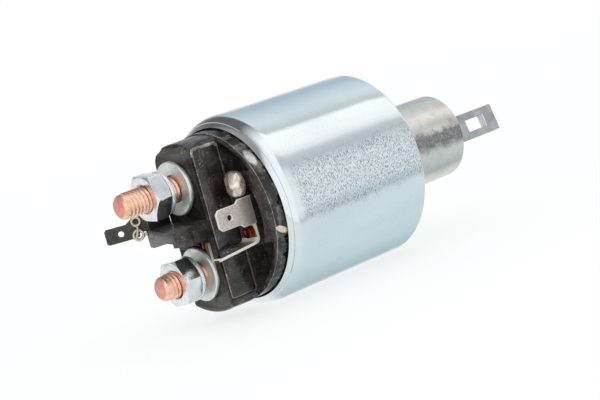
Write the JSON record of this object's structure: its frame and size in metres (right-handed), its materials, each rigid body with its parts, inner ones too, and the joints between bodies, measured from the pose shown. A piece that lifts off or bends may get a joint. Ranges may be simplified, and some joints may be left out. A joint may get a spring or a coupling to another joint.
{
  "type": "starter solenoid relay",
  "caption": "Cylindrical starter solenoid: zinc-plated steel case, black terminal cap with copper studs and tabs, sliding plunger with a slotted link.",
  "frame": {"origin": "centre of the case's front face, in the circle of its tapped holes, on the plunger's axis", "axes": "+X along the plunger's axis, out of the case towards the link; +Z from the motor stud to the battery stud; -Y towards the side tab"},
  "size_m": [0.1544, 0.059, 0.059],
  "materials": {
    "zinc_case": "bright blue-white zinc plate, semi-gloss",
    "brass_tube": "drawn, satin",
    "bobbin_plastic": "moulded nylon, matte",
    "enamelled_copper": "clear enamel over copper wire, glossy",
    "winding_paper": "varnished insulating wrap, satin",
    "core_steel": "turned, satin",
    "black_rubber": "matte",
    "black_phenolic": "moulded phenolic, semi-gloss",
    "stud_copper": "rolled thread, bright copper",
    "bright_zinc": "bright zinc plate",
    "washer_zinc": "zinc plate, satin",
    "terminal_steel": "tinned steel, matte",
    "solder_tin": "solder, bright and rippled",
    "lead_copper": "bare copper, satin",
    "tinned_wire": "tinned copper, satin",
    "dark_steel": "dull, darkened",
    "plunger_steel": "turned steel, satin",
    "link_steel": "zinc plate, worn satin",
    "spring_steel": "oiled spring wire",
    "insulator_fibre": "moulded fibre, matte",
    "contact_copper": "bare copper, satin"
  },
  "bodies": {
    "housing": {"case_shell": "zinc_case", "guide_tube": "brass_tube", "coil_bobbin": "bobbin_plastic", "pull_in_winding": "enamelled_copper", "hold_in_winding": "enamelled_copper", "winding_wrap": "winding_paper", "core_plate": "core_steel", "core_plug": "core_steel", "cap_gasket": "black_rubber", "terminal_cap": "black_phenolic", "battery_stud": "stud_copper", "motor_stud": "stud_copper", "battery_flat_washers": "washer_zinc", "motor_flat_washer": "washer_zinc", "battery_spring_washer": "bright_zinc", "motor_spring_washer": "bright_zinc", "battery_nut": "bright_zinc", "motor_nut": "bright_zinc", "side_tab": "terminal_steel", "side_tab_rivet": "brass_tube", "side_tab_solder": "solder_tin", "start_lead": "enamelled_copper", "motor_strap": "terminal_steel", "strap_rivet": "lead_copper", "finish_leads": "enamelled_copper", "front_tab": "dark_steel", "front_tab_wire": "tinned_wire", "return_spring": "spring_steel", "contact_spring": "spring_steel"},
    "plunger": {"plunger": "plunger_steel", "link_retainer": "core_steel", "link_spring": "spring_steel"},
    "link": {"link": "link_steel", "link_head": "core_steel"},
    "contact": {"contact_rod": "core_steel", "rod_sleeve": "insulator_fibre", "rod_bush": "insulator_fibre", "contact_bridge": "contact_copper", "overtravel_spring": "spring_steel", "rod_clip": "dark_steel"}
  },
  "joints": [
    {"name": "plunger_slide", "type": "slide", "parent": "housing", "child": "plunger", "axis": [-1, 0, 0], "range_m": [0, 0.0107], "stiffness_N_per_m": 900, "springref_m": -0.012, "deforming": ["return_spring"]},
    {"name": "link_slide", "type": "slide", "parent": "plunger", "child": "link", "axis": [1, 0, 0], "range_m": [0, 0.008], "stiffness_N_per_m": 5000, "springref_m": -0.006, "deforming": ["link_spring"]},
    {"name": "contact_slide", "type": "slide", "parent": "housing", "child": "contact", "axis": [-1, 0, 0], "range_m": [0, 0.0022], "stiffness_N_per_m": 300, "springref_m": -0.006, "deforming": ["contact_spring"]}
  ],
  "couplings": [
    {"joint": "contact_slide", "follows": "plunger_slide", "ratio": 0.2056}
  ]
}
